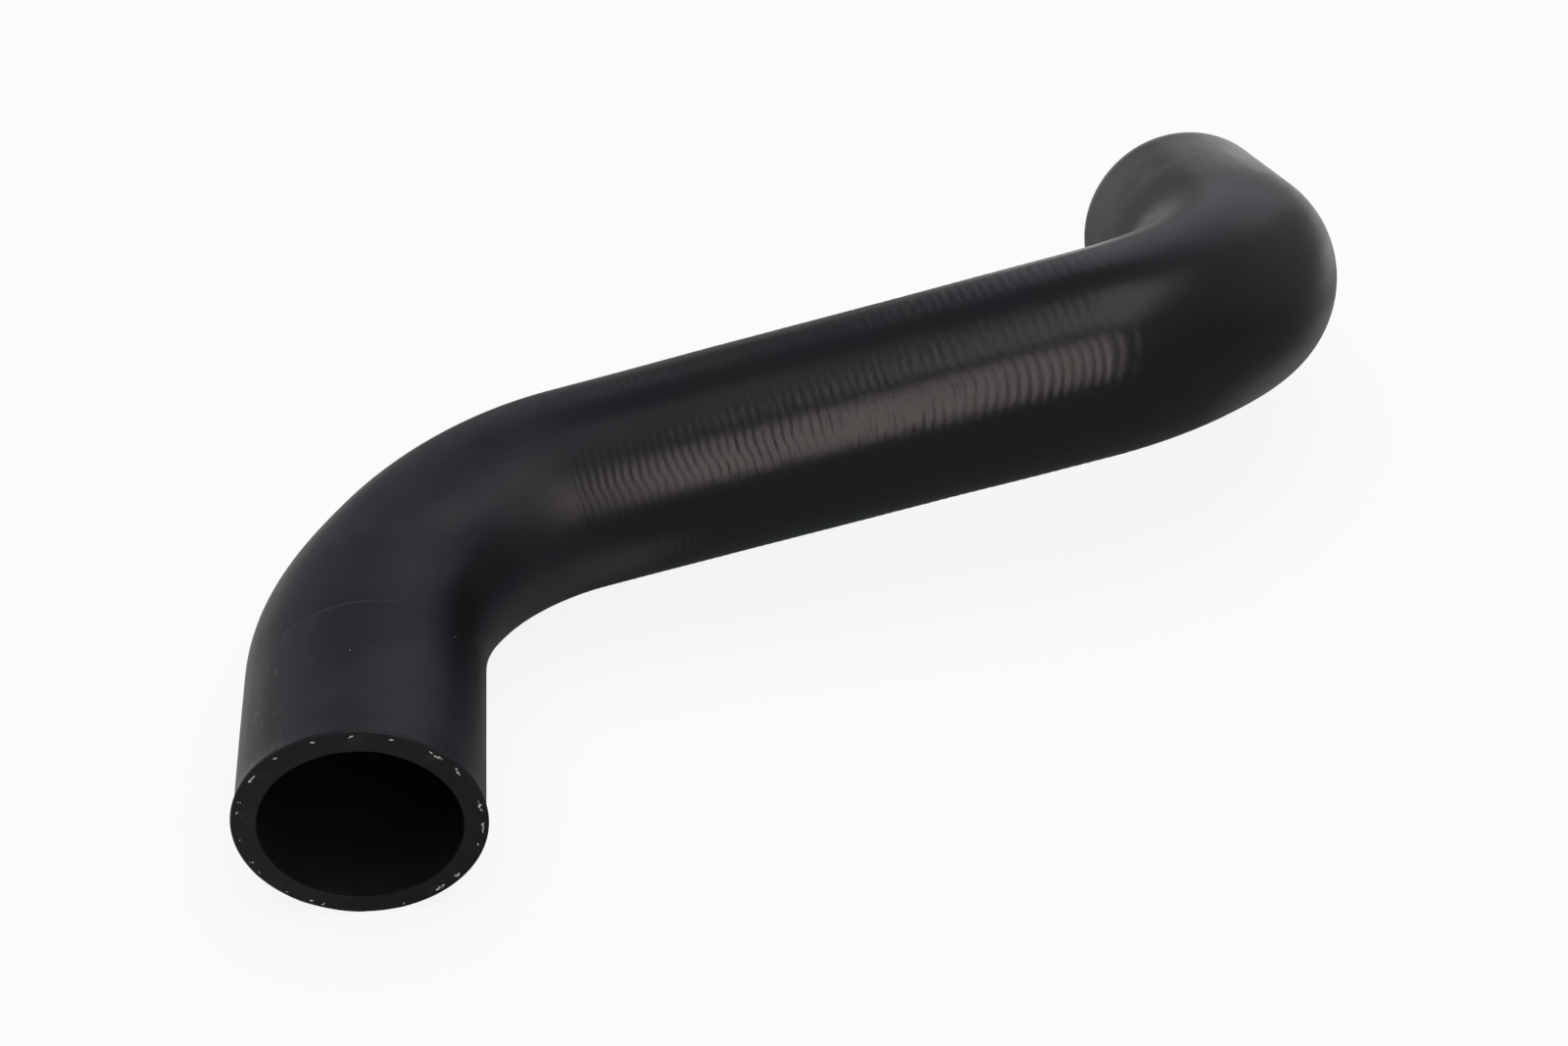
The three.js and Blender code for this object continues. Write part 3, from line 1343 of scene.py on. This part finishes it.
@dataclass(frozen=True)
class CutRubber:
    """A cut end: matt rubber with the knife's drag and a paler ring where the plies end."""

    plain: Colour = (0.0080, 0.0088, 0.0084)
    smudge: Colour = (0.0250, 0.0200, 0.0150)
    ply: Colour = (0.0190, 0.0190, 0.0165)
    ply_inset: float = 2.2
    ply_width: float = 0.9
    blotch: Texture = Texture(150.0, 3.0, low=0.45, high=0.72)
    blotch_share: float = 0.5
    smudge_limits: Span = (0.56, 0.70)
    drag: Texture = Texture(420.0, 3.0)
    drag_bump: Span = (0.5, 0.00016)
    grain: Texture = Texture(1700.0)
    grain_bump: Span = (0.4, 0.00006)
    roughness: float = 0.62
    drag_roughness: float = 0.2

    def make(self, skin: HoseSkin) -> bpy.types.Material:
        """Builds the material.

        Args:
            skin: The skin, whose cuff says where the plies lie.

        Returns:
            The material.
        """
        material, kit = new_material("cut_rubber")
        ply_radius = skin.sizes.cuff_radius - self.ply_inset
        ply = abs(kit.measure("radius") - ply_radius).step(self.ply_width, 0.0)
        blotch = kit.noise(self.blotch)
        drag = kit.noise(self.drag)
        paler = blotch.step(self.blotch.low, self.blotch.high) * self.blotch_share
        colour = kit.mix(paler, self.plain, self.ply)
        colour = kit.mix(ply * blotch.step(*self.smudge_limits), colour, self.smudge)
        normal = kit.bump(drag, *self.drag_bump)
        normal = kit.bump(kit.noise(self.grain), *self.grain_bump, normal)
        roughness = self.roughness + self.drag_roughness * (drag - NOISE_MEAN)
        kit.surface(
            {"Base Color": colour, "Roughness": roughness, "Normal": normal, "IOR": RUBBER_IOR}
        )
        return material


@dataclass(frozen=True)
class PlainFinish:
    """A finish of two colours in patches, which are also a little uneven to the touch."""

    name: str
    first: Colour
    second: Colour
    patch: Texture
    bumps: Texture
    bump: Span
    roughness: float
    patch_roughness: float

    def make(self) -> bpy.types.Material:
        """Builds the material.

        Returns:
            The material.
        """
        material, kit = new_material(self.name)
        patch = kit.noise(self.patch)
        bumps = patch if self.bumps == self.patch else kit.noise(self.bumps)
        colour = kit.mix(patch.step(self.patch.low, self.patch.high), self.first, self.second)
        roughness = self.roughness + self.patch_roughness * (patch - NOISE_MEAN)
        normal = kit.bump(bumps, *self.bump)
        kit.surface({"Base Color": colour, "Roughness": roughness, "Normal": normal})
        return material


# The bore is dull black, with a faint lengthways drag from the mandrel.
MANDREL_DRAG = Texture(detail=3.0, wrap=(16.0, 60.0), low=0.40, high=0.75)
BORE_RUBBER = PlainFinish(
    name="bore_rubber",
    first=(0.0060, 0.0070, 0.0064),
    second=(0.0085, 0.0092, 0.0088),
    patch=MANDREL_DRAG,
    bumps=MANDREL_DRAG,
    bump=(0.25, 0.0001),
    roughness=0.6,
    patch_roughness=0.15,
)

# The thread ends are off-white and a little yellowed.
COTTON_THREAD = PlainFinish(
    name="cotton_thread",
    first=(0.86, 0.86, 0.81),
    second=(0.55, 0.52, 0.41),
    patch=Texture(260.0, low=0.42, high=0.70),
    bumps=Texture(6000.0),
    bump=(0.4, 0.00004),
    roughness=0.7,
    patch_roughness=0.2,
)


# Thread ends


@dataclass(frozen=True)
class Tuft:
    """A place on a cut end where threads show: its angle, and how far they spread around."""

    degrees: float
    spread: float
    strands: int


NEAR_TUFTS = (
    Tuft(81, 0.7, 3), Tuft(62, 0.8, 3), Tuft(99, 0.7, 3), Tuft(119, 1.0, 4), Tuft(136, 3.0, 11),
    Tuft(153, 0.5, 2), Tuft(160, 0.8, 3), Tuft(178, 0.6, 1), Tuft(194, 0.6, 2), Tuft(202, 0.5, 1),
    Tuft(220, 0.5, 1), Tuft(233, 0.8, 3), Tuft(239, 0.9, 3), Tuft(42, 0.6, 2), Tuft(37, 2.4, 8),
    Tuft(25, 2.0, 7), Tuft(0, 3.2, 11), Tuft(345, 3.0, 9), Tuft(334, 0.6, 2), Tuft(311, 2.4, 8),
    Tuft(298, 3.6, 13), Tuft(278, 0.5, 1),
)

FAR_TUFTS = (
    Tuft(12, 1.2, 4), Tuft(31, 0.6, 2), Tuft(54, 2.2, 7), Tuft(77, 0.6, 3), Tuft(96, 0.8, 3),
    Tuft(128, 2.6, 9), Tuft(141, 0.6, 2), Tuft(163, 1.0, 4), Tuft(190, 0.7, 2), Tuft(214, 0.8, 3),
    Tuft(236, 3.0, 10), Tuft(262, 0.6, 2), Tuft(283, 0.9, 3), Tuft(305, 1.6, 5), Tuft(338, 0.7, 3),
)


class Draw(Enum):
    """The random numbers of a strand, with the salt that keeps each draw apart."""

    ALONG = 1
    ACROSS = 2
    LIFT = 3
    LEAN = 4
    TILT = 5
    WIDTH = 6
    THICKNESS = 7
    LENGTH = 8


DRAW_LIMITS: dict[Draw, Span] = {
    Draw.ALONG: (-0.5, 0.5),
    Draw.ACROSS: (-0.35 * MM, 0.35 * MM),
    Draw.LIFT: (0.0, 0.12 * MM),
    Draw.LEAN: (-0.45, 0.45),
    Draw.TILT: (-0.05, 0.22),
    Draw.WIDTH: (0.6, 1.3),
    Draw.THICKNESS: (0.6, 1.3),
    Draw.LENGTH: (0.35, 1.15),
}


@dataclass
class ThreadEnds:
    """The short frayed ends of the reinforcement threads on the cut ends."""

    skin: HoseSkin
    strand_length: float = 0.75
    strand_radius: float = 0.08
    inset: float = 1.8
    proud: float = 0.08
    strand_sides: int = 5
    strand_segments: int = 3
    seed: int = 3
    roots: list[tuple[Vector, Vector, Vector, Tuft]] = field(default_factory=list)

    def build(self, name: str, material: bpy.types.Material) -> bpy.types.Object:
        """Scatters the strands over both cut ends.

        Args:
            name: Name of the object.
            material: The threads' finish.

        Returns:
            The finished object, a plain mesh.
        """
        self._plant(0.0, NEAR_TUFTS, -1.0)
        self._plant(self.skin.route.length, FAR_TUFTS, 1.0)
        piece = self._root_points(name)
        self._scatter(piece, material)
        return piece

    def _plant(self, travelled: float, tufts: tuple[Tuft, ...], facing: float) -> None:
        """Adds the roots of one cut end.

        Args:
            travelled: Where the end is.
            tufts: Its tufts.
            facing: 1 where the cut faces along the route, -1 where it faces back.
        """
        outer = float(self.skin.section.outer_radius(np.array(travelled)))
        for tuft in tufts:
            _, around, heading = self.skin.direction(travelled, tuft.degrees)
            spot = self.skin.place(travelled, tuft.degrees, outer - self.inset)
            spot += heading * facing * self.proud
            self.roots.append((spot * MM, around, heading * facing, tuft))

    def _root_points(self, name: str) -> bpy.types.Object:
        """A mesh of loose points, one for each tuft, that carries the tufts' facts.

        Args:
            name: Name of the object.

        Returns:
            The object, linked to the scene.
        """
        mesh = bpy.data.meshes.new(name)
        mesh.from_pydata([tuple(spot) for spot, *_ in self.roots], [], [])
        facts = (
            ("around", "FLOAT_VECTOR", "vector", [sideways for _, sideways, _, _ in self.roots]),
            ("facing", "FLOAT_VECTOR", "vector", [outward for _, _, outward, _ in self.roots]),
            ("spread", "FLOAT", "value", [tuft.spread * MM for _, _, _, tuft in self.roots]),
            ("strands", "INT", "value", [tuft.strands for _, _, _, tuft in self.roots]),
        )
        for fact, kind, key, values in facts:
            layer = mesh.attributes.new(fact, kind, "POINT")
            layer.data.foreach_set(key, np.array(values).ravel())
        piece = bpy.data.objects.new(name, mesh)
        bpy.context.collection.objects.link(piece)
        return piece

    def _tree(self, material: bpy.types.Material) -> bpy.types.GeometryNodeTree:
        """The node tree that turns each root into a tuft of short strands.

        Args:
            material: The threads' finish.

        Returns:
            The tree, with named inputs for its sizes.
        """
        tree = bpy.data.node_groups.new("thread_ends", "GeometryNodeTree")
        kit = ShaderKit(tree)
        tree.interface.new_socket("Roots", in_out="INPUT", socket_type="NodeSocketGeometry")
        for size in ("Strand Length", "Strand Radius"):
            tree.interface.new_socket(size, in_out="INPUT", socket_type="NodeSocketFloat")
        tree.interface.new_socket("Seed", in_out="INPUT", socket_type="NodeSocketInt")
        tree.interface.new_socket("Threads", in_out="OUTPUT", socket_type="NodeSocketGeometry")
        given = kit.node("NodeGroupInput", {}, {}).outputs

        def stored(name: str, kind: str) -> Any:
            """A fact that the roots carry."""
            settings = {"data_type": kind}
            return kit.node("GeometryNodeInputNamedAttribute", settings, {"Name": name}).outputs[0]

        def vector(operation: str, inputs: dict[Any, Any]) -> Any:
            """The result of a sum on vectors."""
            return kit.node("ShaderNodeVectorMath", {"operation": operation}, inputs).outputs[0]

        def scaled(direction: Any, amount: Any) -> Any:
            """A vector times a number."""
            return vector("SCALE", {0: direction, "Scale": amount})

        def drawn(draw: Draw) -> Any:
            """Draws a random number for each strand.

            Args:
                draw: Which of a strand's numbers it is.

            Returns:
                The number's socket.
            """
            low, high = DRAW_LIMITS[draw]
            salted = {0: given["Seed"], 1: float(draw.value)}
            seed = kit.node("ShaderNodeMath", {"operation": "ADD"}, salted).outputs[0]
            inputs = {RANDOM_LOW: low, RANDOM_HIGH: high, "Seed": seed}
            made = kit.node("FunctionNodeRandomValue", {"data_type": "FLOAT"}, inputs)
            return made.outputs[RANDOM_RESULT]

        around = stored("around", "FLOAT_VECTOR")
        facing = stored("facing", "FLOAT_VECTOR")
        radial = vector("CROSS_PRODUCT", {0: around, 1: facing})
        copies = kit.node(
            "GeometryNodeDuplicateElements",
            {"domain": "POINT"},
            {"Geometry": given["Roots"], "Amount": stored("strands", "INT")},
        )
        along = kit.node(
            "ShaderNodeMath",
            {"operation": "MULTIPLY"},
            {0: stored("spread", "FLOAT"), 1: drawn(Draw.ALONG)},
        )
        across = scaled(radial, drawn(Draw.ACROSS))
        offset = vector("ADD", {0: scaled(around, along.outputs[0]), 1: across})
        offset = vector("ADD", {0: offset, 1: scaled(facing, drawn(Draw.LIFT))})
        lean = vector("ADD", {0: around, 1: scaled(radial, drawn(Draw.LEAN))})
        lean = vector("ADD", {0: lean, 1: scaled(facing, drawn(Draw.TILT))})
        moved = kit.node(
            "GeometryNodeSetPosition", {}, {"Geometry": copies.outputs[0], "Offset": offset}
        )
        aimed = kit.node("FunctionNodeAlignRotationToVector", {"axis": "Z"}, {"Vector": lean})
        strand = kit.node(
            "GeometryNodeMeshCylinder",
            {},
            {
                "Vertices": self.strand_sides,
                "Side Segments": self.strand_segments,
                "Radius": given["Strand Radius"],
                "Depth": given["Strand Length"],
            },
        )
        sizes = (Draw.WIDTH, Draw.THICKNESS, Draw.LENGTH)
        size = kit.node(
            "ShaderNodeCombineXYZ", {}, {axis: drawn(draw) for axis, draw in enumerate(sizes)}
        )
        placed = kit.node(
            "GeometryNodeInstanceOnPoints",
            {},
            {
                "Points": moved.outputs[0],
                "Instance": strand.outputs["Mesh"],
                "Rotation": aimed.outputs[0],
                "Scale": size.outputs[0],
            },
        )
        result = placed.outputs[0]
        for kind, extra in (
            ("GeometryNodeRealizeInstances", {}),
            ("GeometryNodeSetShadeSmooth", {}),
            ("GeometryNodeSetMaterial", {"Material": material}),
        ):
            result = kit.node(kind, {}, {"Geometry": result, **extra}).outputs[0]
        kit.node("NodeGroupOutput", {}, {0: result})
        return tree

    def _scatter(self, piece: bpy.types.Object, material: bpy.types.Material) -> None:
        """Runs the tree on the roots and keeps its result as a plain mesh.

        Args:
            piece: The object with the roots.
            material: The threads' finish.
        """
        tree = self._tree(material)
        values = {
            "Strand Length": self.strand_length * MM,
            "Strand Radius": self.strand_radius * MM,
            "Seed": self.seed,
        }
        modifier = piece.modifiers.new("thread_ends", "NODES")
        modifier.node_group = tree
        for item in tree.interface.items_tree:
            if item.item_type == "SOCKET" and item.name in values:
                modifier[item.identifier] = values[item.name]
        graph = bpy.context.evaluated_depsgraph_get()
        result = bpy.data.meshes.new_from_object(piece.evaluated_get(graph))
        piece.modifiers.remove(modifier)
        piece.data = result


# Studio


@dataclass(frozen=True)
class Softbox:
    """A rectangular lamp, placed by where it stands as seen from the hose."""

    name: str
    azimuth: float
    elevation: float
    distance: float
    width: float
    height: float
    radiance: float
    tint: Colour = (1.0, 1.0, 1.0)
    shines: bool = True
    mirrored: bool = True

    def build(self) -> None:
        """Makes the lamp and turns it to the hose."""
        lamp = bpy.data.lights.new(self.name, "AREA")
        lamp.shape = "RECTANGLE"
        lamp.size = self.width
        lamp.size_y = self.height
        lamp.color = self.tint
        lamp.energy = self.radiance * math.pi * self.width * self.height
        piece = bpy.data.objects.new(self.name, lamp)
        turn, rise = math.radians(self.azimuth), math.radians(self.elevation)
        level = math.cos(rise)
        towards = Vector((math.sin(turn) * level, math.cos(turn) * level, math.sin(rise)))
        piece.location = towards * self.distance
        piece.rotation_euler = towards.to_track_quat("Z", "Y").to_euler()
        piece.visible_camera = False
        piece.visible_diffuse = self.shines
        piece.visible_glossy = self.mirrored
        bpy.context.collection.objects.link(piece)


WHITE: Colour = (1.0, 1.0, 1.0)

SOFTBOXES = (
    Softbox("front_softbox", 168.2, 35.0, 1.5, 0.44, 1.21, 2.58, (1.0, 0.82, 0.79)),
    Softbox("top_softbox", 97.5, 76.0, 1.5, 1.10, 0.68, 1.15, (1.0, 0.93, 0.94)),
    Softbox("left_top_panel", 280.0, 72.0, 1.5, 0.9, 0.70, 0.34, (0.93, 0.95, 1.0)),
    Softbox("back_panel", 19.0, 18.0, 2.4, 1.6, 1.8, 0.52, (0.90, 0.92, 1.0)),
    Softbox("back_left_panel", -25.0, 16.0, 2.4, 1.2, 1.7, 0.26, (0.90, 0.92, 1.0)),
    Softbox("right_panel", 68.0, 22.0, 2.4, 2.5, 1.9, 0.18, (0.93, 0.95, 1.0)),
    Softbox("left_panel", -60.0, 20.0, 2.4, 2.0, 1.6, 0.44, (0.95, 0.96, 1.0)),
    Softbox("sky", 0.0, 88.0, 2.2, 2.6, 2.6, 1.45, (0.95, 0.98, 1.0), mirrored=False),
)


@dataclass(frozen=True)
class PaintedLightPatch:
    """A painted pool of light on the floor, which only reflections show, paler than the rest."""

    place: Place
    reach: float
    core: float
    colour: Colour


# Painted pools of light on the floor, which only reflections see.
PAINTED_LIGHT_PATCHES = (
    PaintedLightPatch((-0.27, 0.02, 0.0), 0.22, 0.14, (0.84, 0.84, 0.80)),
    PaintedLightPatch((-0.056, -0.062, 0.0), 0.040, 0.015, (0.34, 0.34, 0.33)),
    PaintedLightPatch((0.21, 0.26, 0.0), 0.19, 0.11, (1.0, 0.99, 0.97)),
    PaintedLightPatch((0.19, 0.10, 0.0), 0.07, 0.02, (0.38, 0.38, 0.36)),
    PaintedLightPatch((0.165, 0.032, 0.0), 0.05, 0.015, (0.31, 0.31, 0.30)),
)


@dataclass(frozen=True)
class Studio:
    """The pale floor, the white background, the lamps and the camera."""

    floor_size: float = 6.0
    floor_colour: Colour = (0.80, 0.80, 0.80)
    floor_lift: float = 0.88
    # Reflections see painted light and shade on the floor: dark in front of the hose, paler behind
    # it.
    mirrored_lift: float = 0.85
    mirrored_back: Colour = (0.17, 0.17, 0.17)
    mirrored_front_shade: Colour = (0.042, 0.054, 0.056)
    mirrored_edge: Span = (-0.012, 0.03)
    mirrored_slant: float = 0.16
    ambient: float = 0.25
    ambient_tint: Colour = (0.95, 0.97, 1.0)
    dim: float = 0.12
    camera_place: Place = (-0.056308, -0.632791, 0.566788)
    camera_azimuth: float = 4.2224
    camera_elevation: float = 41.0208
    camera_lens: float = 71.158
    camera_sensor: float = 36.0
    camera_reach: float = 20.0

    def build(self) -> bpy.types.Object:
        """Sets the whole studio up.

        Returns:
            The floor, which isn't part of the object.
        """
        for softbox in SOFTBOXES:
            softbox.build()
        self._world()
        self._camera()
        return self._floor()

    def _world(self) -> None:
        """White to the camera, dim in reflections, and a little light all round."""
        world = bpy.data.worlds.new("studio")
        world.use_nodes = True
        kit = ShaderKit(world.node_tree)
        seen, glossy = kit.rays()
        strength = seen + (1 - seen) * (glossy * self.dim + (1 - glossy) * self.ambient)
        colour = kit.mix(seen, self.ambient_tint, WHITE)
        shader = kit.node("ShaderNodeBackground", {}, {"Color": colour, "Strength": strength})
        kit.node("ShaderNodeOutputWorld", {}, {"Surface": shader.outputs[0]})
        bpy.context.scene.world = world

    def _floor(self) -> bpy.types.Object:
        """A plain pale floor that takes the hose's shadow. Reflections see painted light and shade
        on it.

        Returns:
            The floor.
        """
        half = self.floor_size / 2
        corners = [(-half, -half, 0.0), (half, -half, 0.0), (half, half, 0.0), (-half, half, 0.0)]
        mesh = bpy.data.meshes.new("floor")
        mesh.from_pydata(corners, [], [(0, 1, 2, 3)])
        material, kit = new_material("floor_paper")
        seen, glossy = kit.rays()
        # Reflections see the floor's painted light and shade, and the camera sees it white.
        lift = (seen * self.floor_lift).largest(glossy * self.mirrored_lift)
        along = kit.node("ShaderNodeSeparateXYZ", {}, {0: kit.place()}).outputs
        behind = Number(kit, along["Y"]) - self.mirrored_slant * Number(kit, along["X"])
        behind = behind.step(*self.mirrored_edge)
        reflected_light_and_shade = kit.mix(behind, self.mirrored_front_shade, self.mirrored_back)
        for patch in PAINTED_LIGHT_PATCHES:
            share = kit.distance_to(patch.place).step(patch.reach, patch.core)
            reflected_light_and_shade = kit.mix(share, reflected_light_and_shade, patch.colour)
        reflected_light_and_shade = kit.mix(seen, reflected_light_and_shade, WHITE)
        paper = kit.node("ShaderNodeBsdfDiffuse", {}, {"Color": (*self.floor_colour, 1.0)})
        glow = kit.node("ShaderNodeEmission", {}, {"Color": reflected_light_and_shade, "Strength": 1.0})
        sides = {0: lift, 1: paper.outputs[0], 2: glow.outputs[0]}
        mixed = kit.node("ShaderNodeMixShader", {}, sides)
        kit.node("ShaderNodeOutputMaterial", {}, {"Surface": mixed.outputs[0]})
        mesh.materials.append(material)
        floor = bpy.data.objects.new("floor", mesh)
        bpy.context.collection.objects.link(floor)
        return floor

    def _camera(self) -> None:
        """The camera, where the photograph was taken from."""
        lens = bpy.data.cameras.new("camera")
        lens.sensor_width = self.camera_sensor
        lens.lens = self.camera_lens
        lens.clip_end = self.camera_reach
        camera = bpy.data.objects.new("camera", lens)
        pan = Matrix.Rotation(-math.radians(self.camera_azimuth), 4, "Z")
        tilt = Matrix.Rotation(math.pi / 2 - math.radians(self.camera_elevation), 4, "X")
        camera.matrix_world = Matrix.Translation(self.camera_place) @ pan @ tilt
        bpy.context.collection.objects.link(camera)
        bpy.context.scene.camera = camera


def main() -> None:
    """Builds the studio, the hose's skin and its thread ends, and ties them to the frame."""
    logging.basicConfig(level=logging.INFO, format="%(name)s: %(message)s")
    bpy.context.scene.view_settings.view_transform = "Standard"
    Studio().build()

    skin = HoseSkin(HoseSizes(), SkinDetail(), Ripples())
    hose = skin.build("hose_skin")
    for material in (MouldedRubber().make(skin), CutRubber().make(skin), BORE_RUBBER.make()):
        hose.data.materials.append(material)
    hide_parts("hose")
    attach(hose, "root")
    log.info("hose_skin: %d faces", len(hose.data.polygons))

    threads = ThreadEnds(skin).build("thread_ends", COTTON_THREAD.make())
    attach(threads, "root")
    log.info("thread_ends: %d faces", len(threads.data.polygons))


if __name__ == "__main__":
    main()
